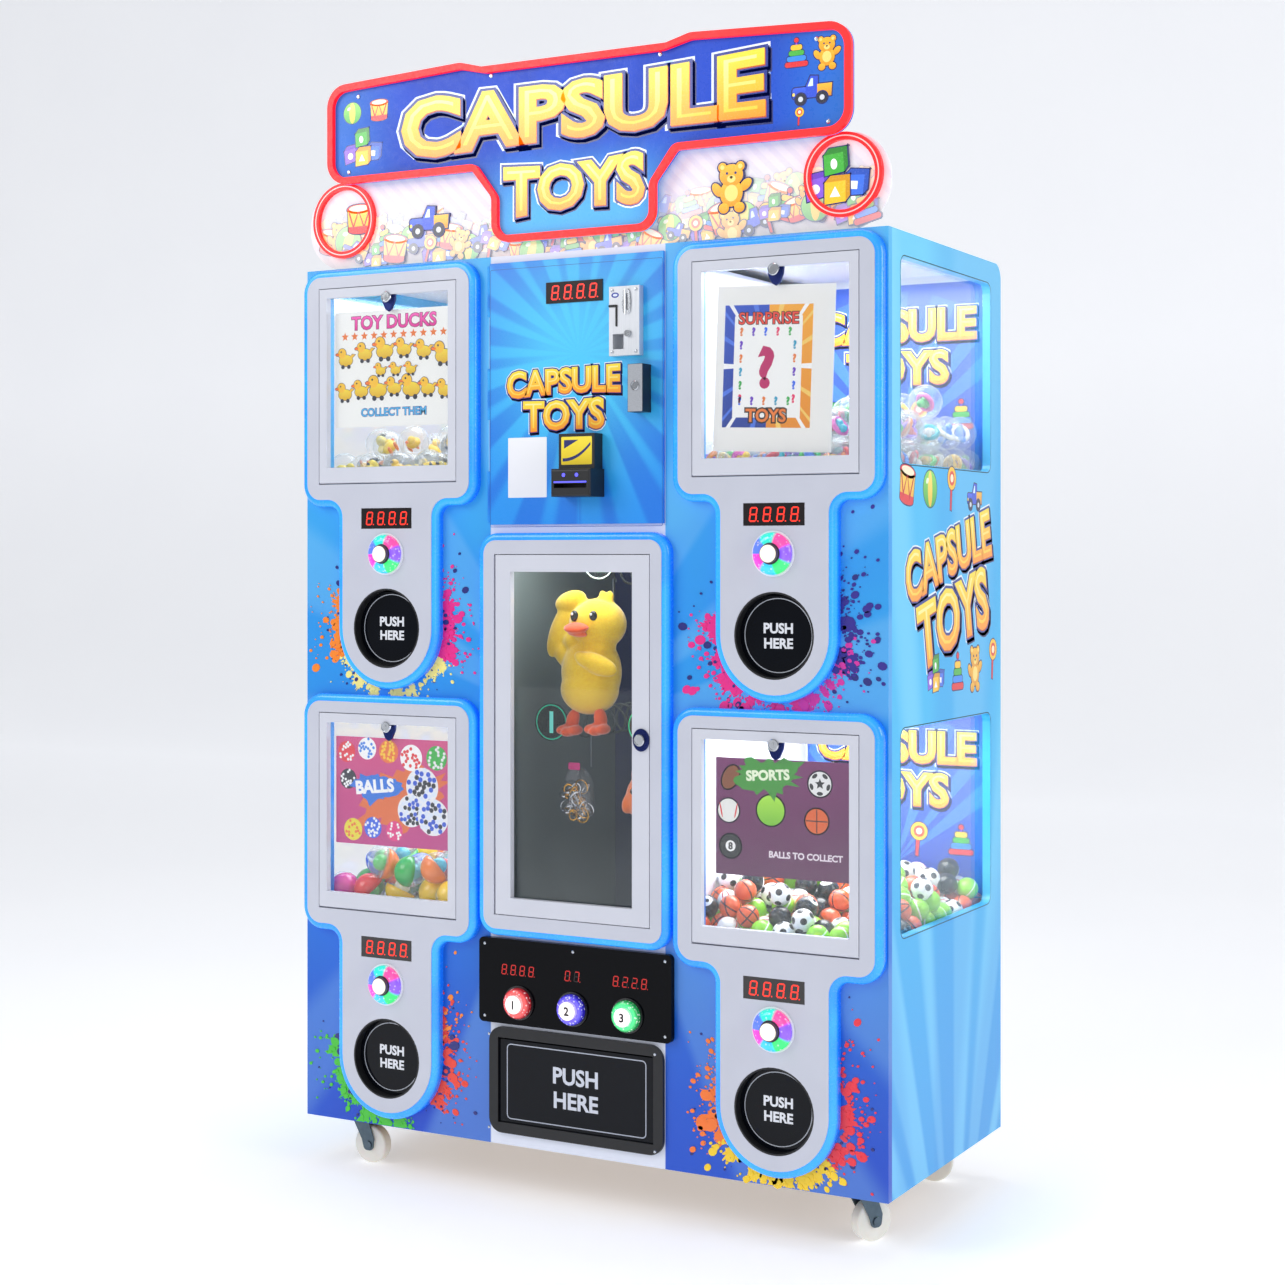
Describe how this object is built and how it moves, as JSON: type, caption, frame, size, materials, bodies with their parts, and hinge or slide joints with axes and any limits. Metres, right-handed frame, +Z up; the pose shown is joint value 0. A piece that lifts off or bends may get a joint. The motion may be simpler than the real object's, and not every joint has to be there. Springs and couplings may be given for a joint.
{
  "type": "capsule and plush prize vending machine",
  "caption": "Tall cabinet on swivel casters with glazed prize stations, coin door, lit push buttons, hinged prize flaps and a lit header sign",
  "frame": {"origin": "on the floor, at the centre of the outline seen from above", "axes": "+X to the player's right, +Y to the back of the cabinet, +Z up"},
  "size_m": [1.26, 0.64, 2.1767],
  "materials": {
    "carcass_board": "bare MDF",
    "white_laminate_board": "white laminated board",
    "printed_side_board": "printed vinyl on board",
    "printed_front_board": "printed vinyl on board",
    "clear_acrylic": "clear cast acrylic",
    "clear_glass": "tempered glass",
    "black_plastic": "moulded black ABS",
    "grey_bezel": "satin light grey",
    "blue_light_edge": "lit translucent acrylic",
    "display_black": "dark red display filter",
    "black_gloss_acrylic": "polished black acrylic",
    "motor_zinc": "zinc plated case",
    "printed_acrylic": "printed acrylic",
    "neon_red": "lit silicone tube",
    "bracket_steel": "painted steel",
    "black_steel": "black steel plate",
    "button_rim": "moulded polycarbonate",
    "lit_button": "translucent polycarbonate",
    "door_frame": "powder coated extrusion",
    "smoked_acrylic": "smoked acrylic",
    "disc_plastic": "moulded ABS",
    "printed_steel": "printed steel sheet",
    "brushed_steel": "brushed",
    "chrome": "bright",
    "fork_zinc": "zinc plated",
    "wheel_nylon": "moulded nylon",
    "spiral_wire": "plated spring wire"
  },
  "bodies": {
    "cabinet": {"base_panel": "carcass_board", "top_and_back_panels": "white_laminate_board", "side_panels": "printed_side_board", "side_windows": "clear_acrylic", "power_inlet": "black_plastic", "inner_walls": "white_laminate_board", "front_panel": "printed_front_board", "window_bezels": "grey_bezel", "bezel_light_edges": "blue_light_edge", "station_displays": "display_black", "prize_chutes": "black_plastic", "flap_surrounds": "black_plastic", "control_panel": "black_gloss_acrylic", "drive_motors": "motor_zinc", "sign_boards": "printed_acrylic", "sign_neon_tubes": "neon_red", "sign_brackets": "bracket_steel", "caster_plates": "black_steel", "button_housings": "button_rim"},
    "station_door_1_body": {"station_door_1": "door_frame", "station_glass_1": "clear_glass"},
    "prize_flap_1_body": {"prize_flap_1": "smoked_acrylic"},
    "play_button_1_body": {"play_button_1": "lit_button"},
    "dispenser_disc_1_body": {"dispenser_disc_1": "disc_plastic"},
    "station_door_2_body": {"station_door_2": "door_frame", "station_glass_2": "clear_glass"},
    "prize_flap_2_body": {"prize_flap_2": "smoked_acrylic"},
    "play_button_2_body": {"play_button_2": "lit_button"},
    "dispenser_disc_2_body": {"dispenser_disc_2": "disc_plastic"},
    "station_door_3_body": {"station_door_3": "door_frame", "station_glass_3": "clear_glass"},
    "prize_flap_3_body": {"prize_flap_3": "smoked_acrylic"},
    "play_button_3_body": {"play_button_3": "lit_button"},
    "dispenser_disc_3_body": {"dispenser_disc_3": "disc_plastic"},
    "station_door_4_body": {"station_door_4": "door_frame", "station_glass_4": "clear_glass"},
    "prize_flap_4_body": {"prize_flap_4": "smoked_acrylic"},
    "play_button_4_body": {"play_button_4": "lit_button"},
    "dispenser_disc_4_body": {"dispenser_disc_4": "disc_plastic"},
    "centre_door_body": {"centre_door": "door_frame", "centre_glass": "clear_glass"},
    "centre_flap_body": {"centre_prize_flap": "smoked_acrylic"},
    "select_button_1_body": {"select_button_1": "lit_button"},
    "select_button_2_body": {"select_button_2": "lit_button"},
    "select_button_3_body": {"select_button_3": "lit_button"},
    "coin_door_body": {"coin_door": "printed_steel", "coin_door_fittings": "brushed_steel", "bill_acceptor": "black_plastic"},
    "coin_reject_body": {"coin_reject_button": "chrome"},
    "caster_fork_1_body": {"caster_fork_1": "fork_zinc"},
    "caster_wheel_1_body": {"caster_wheel_1": "wheel_nylon"},
    "caster_fork_2_body": {"caster_fork_2": "fork_zinc"},
    "caster_wheel_2_body": {"caster_wheel_2": "wheel_nylon"},
    "caster_fork_3_body": {"caster_fork_3": "fork_zinc"},
    "caster_wheel_3_body": {"caster_wheel_3": "wheel_nylon"},
    "caster_fork_4_body": {"caster_fork_4": "fork_zinc"},
    "caster_wheel_4_body": {"caster_wheel_4": "wheel_nylon"},
    "prize_spiral_1_body": {"prize_spiral_1": "spiral_wire"},
    "prize_spiral_2_body": {"prize_spiral_2": "spiral_wire"},
    "prize_spiral_3_body": {"prize_spiral_3": "spiral_wire"}
  },
  "joints": [
    {"name": "station_door_1_hinge", "type": "hinge", "parent": "cabinet", "child": "station_door_1_body", "pos_m": [-0.42, -0.277, 1.375], "axis": [1, 0, 0], "range_deg": [0, 95]},
    {"name": "prize_flap_1_hinge", "type": "hinge", "parent": "cabinet", "child": "prize_flap_1_body", "pos_m": [-0.42, -0.2556, 1.154], "axis": [1, 0, 0], "range_deg": [0, 60]},
    {"name": "play_button_1_press", "type": "slide", "parent": "cabinet", "child": "play_button_1_body", "axis": [0, 1, 0], "range_m": [0, 0.0035], "stiffness_N_per_m": 500},
    {"name": "dispenser_disc_1_turn", "type": "hinge", "parent": "cabinet", "child": "dispenser_disc_1_body", "pos_m": [-0.42, -0.08, 1.368], "axis": [0, 0, 1], "continuous": true},
    {"name": "station_door_2_hinge", "type": "hinge", "parent": "cabinet", "child": "station_door_2_body", "pos_m": [0.42, -0.277, 1.375], "axis": [1, 0, 0], "range_deg": [0, 95]},
    {"name": "prize_flap_2_hinge", "type": "hinge", "parent": "cabinet", "child": "prize_flap_2_body", "pos_m": [0.42, -0.2556, 1.154], "axis": [1, 0, 0], "range_deg": [0, 60]},
    {"name": "play_button_2_press", "type": "slide", "parent": "cabinet", "child": "play_button_2_body", "axis": [0, 1, 0], "range_m": [0, 0.0035], "stiffness_N_per_m": 500},
    {"name": "dispenser_disc_2_turn", "type": "hinge", "parent": "cabinet", "child": "dispenser_disc_2_body", "pos_m": [0.42, -0.08, 1.368], "axis": [0, 0, 1], "continuous": true},
    {"name": "station_door_3_hinge", "type": "hinge", "parent": "cabinet", "child": "station_door_3_body", "pos_m": [-0.42, -0.277, 0.53], "axis": [1, 0, 0], "range_deg": [0, 95]},
    {"name": "prize_flap_3_hinge", "type": "hinge", "parent": "cabinet", "child": "prize_flap_3_body", "pos_m": [-0.42, -0.2556, 0.309], "axis": [1, 0, 0], "range_deg": [0, 60]},
    {"name": "play_button_3_press", "type": "slide", "parent": "cabinet", "child": "play_button_3_body", "axis": [0, 1, 0], "range_m": [0, 0.0035], "stiffness_N_per_m": 500},
    {"name": "dispenser_disc_3_turn", "type": "hinge", "parent": "cabinet", "child": "dispenser_disc_3_body", "pos_m": [-0.42, -0.08, 0.523], "axis": [0, 0, 1], "continuous": true},
    {"name": "station_door_4_hinge", "type": "hinge", "parent": "cabinet", "child": "station_door_4_body", "pos_m": [0.42, -0.277, 0.53], "axis": [1, 0, 0], "range_deg": [0, 95]},
    {"name": "prize_flap_4_hinge", "type": "hinge", "parent": "cabinet", "child": "prize_flap_4_body", "pos_m": [0.42, -0.2556, 0.309], "axis": [1, 0, 0], "range_deg": [0, 60]},
    {"name": "play_button_4_press", "type": "slide", "parent": "cabinet", "child": "play_button_4_body", "axis": [0, 1, 0], "range_m": [0, 0.0035], "stiffness_N_per_m": 500},
    {"name": "dispenser_disc_4_turn", "type": "hinge", "parent": "cabinet", "child": "dispenser_disc_4_body", "pos_m": [0.42, -0.08, 0.523], "axis": [0, 0, 1], "continuous": true},
    {"name": "centre_door_hinge", "type": "hinge", "parent": "cabinet", "child": "centre_door_body", "pos_m": [-0.163, -0.277, 0.886], "axis": [0, 0, -1], "range_deg": [0, 90]},
    {"name": "centre_prize_flap_hinge", "type": "hinge", "parent": "cabinet", "child": "centre_flap_body", "pos_m": [0, -0.256, 0.301], "axis": [1, 0, 0], "range_deg": [0, 55], "stiffness_Nm_per_rad": 0.25},
    {"name": "select_button_1_press", "type": "slide", "parent": "cabinet", "child": "select_button_1_body", "axis": [0, 1, 0], "range_m": [0, 0.0035], "stiffness_N_per_m": 500},
    {"name": "select_button_2_press", "type": "slide", "parent": "cabinet", "child": "select_button_2_body", "axis": [0, 1, 0], "range_m": [0, 0.0035], "stiffness_N_per_m": 500},
    {"name": "select_button_3_press", "type": "slide", "parent": "cabinet", "child": "select_button_3_body", "axis": [0, 1, 0], "range_m": [0, 0.0035], "stiffness_N_per_m": 500},
    {"name": "coin_door_hinge", "type": "hinge", "parent": "cabinet", "child": "coin_door_body", "pos_m": [-0.192, -0.2632, 1.536], "axis": [0, 0, -1], "range_deg": [0, 90]},
    {"name": "coin_reject_press", "type": "slide", "parent": "coin_door_body", "child": "coin_reject_body", "axis": [0, 1, 0], "range_m": [0, 0.003], "stiffness_N_per_m": 400},
    {"name": "caster_1_swivel", "type": "hinge", "parent": "cabinet", "child": "caster_fork_1_body", "pos_m": [-0.545, -0.185, 0.09], "axis": [0, 0, 1], "continuous": true},
    {"name": "caster_1_roll", "type": "hinge", "parent": "caster_fork_1_body", "child": "caster_wheel_1_body", "pos_m": [-0.521, -0.185, 0.0375], "axis": [0, 1, 0], "continuous": true},
    {"name": "caster_2_swivel", "type": "hinge", "parent": "cabinet", "child": "caster_fork_2_body", "pos_m": [0.545, -0.185, 0.09], "axis": [0, 0, 1], "continuous": true},
    {"name": "caster_2_roll", "type": "hinge", "parent": "caster_fork_2_body", "child": "caster_wheel_2_body", "pos_m": [0.557, -0.16421, 0.0375], "axis": [-0.866, 0.5, 0], "continuous": true},
    {"name": "caster_3_swivel", "type": "hinge", "parent": "cabinet", "child": "caster_fork_3_body", "pos_m": [-0.545, 0.245, 0.09], "axis": [0, 0, 1], "continuous": true},
    {"name": "caster_3_roll", "type": "hinge", "parent": "caster_fork_3_body", "child": "caster_wheel_3_body", "pos_m": [-0.56578, 0.257, 0.0375], "axis": [-0.5, -0.866, 0], "continuous": true},
    {"name": "caster_4_swivel", "type": "hinge", "parent": "cabinet", "child": "caster_fork_4_body", "pos_m": [0.545, 0.245, 0.09], "axis": [0, 0, 1], "continuous": true},
    {"name": "caster_4_roll", "type": "hinge", "parent": "caster_fork_4_body", "child": "caster_wheel_4_body", "pos_m": [0.52182, 0.23879, 0.0375], "axis": [0.2588, -0.9659, 0], "continuous": true},
    {"name": "prize_spiral_1_turn", "type": "hinge", "parent": "cabinet", "child": "prize_spiral_1_body", "pos_m": [-0.105, 0, 0.895], "axis": [0, 1, 0], "continuous": true},
    {"name": "prize_spiral_2_turn", "type": "hinge", "parent": "cabinet", "child": "prize_spiral_2_body", "pos_m": [0, 0, 1.2], "axis": [0, 1, 0], "continuous": true},
    {"name": "prize_spiral_3_turn", "type": "hinge", "parent": "cabinet", "child": "prize_spiral_3_body", "pos_m": [0.105, 0, 0.895], "axis": [0, 1, 0], "continuous": true}
  ]
}
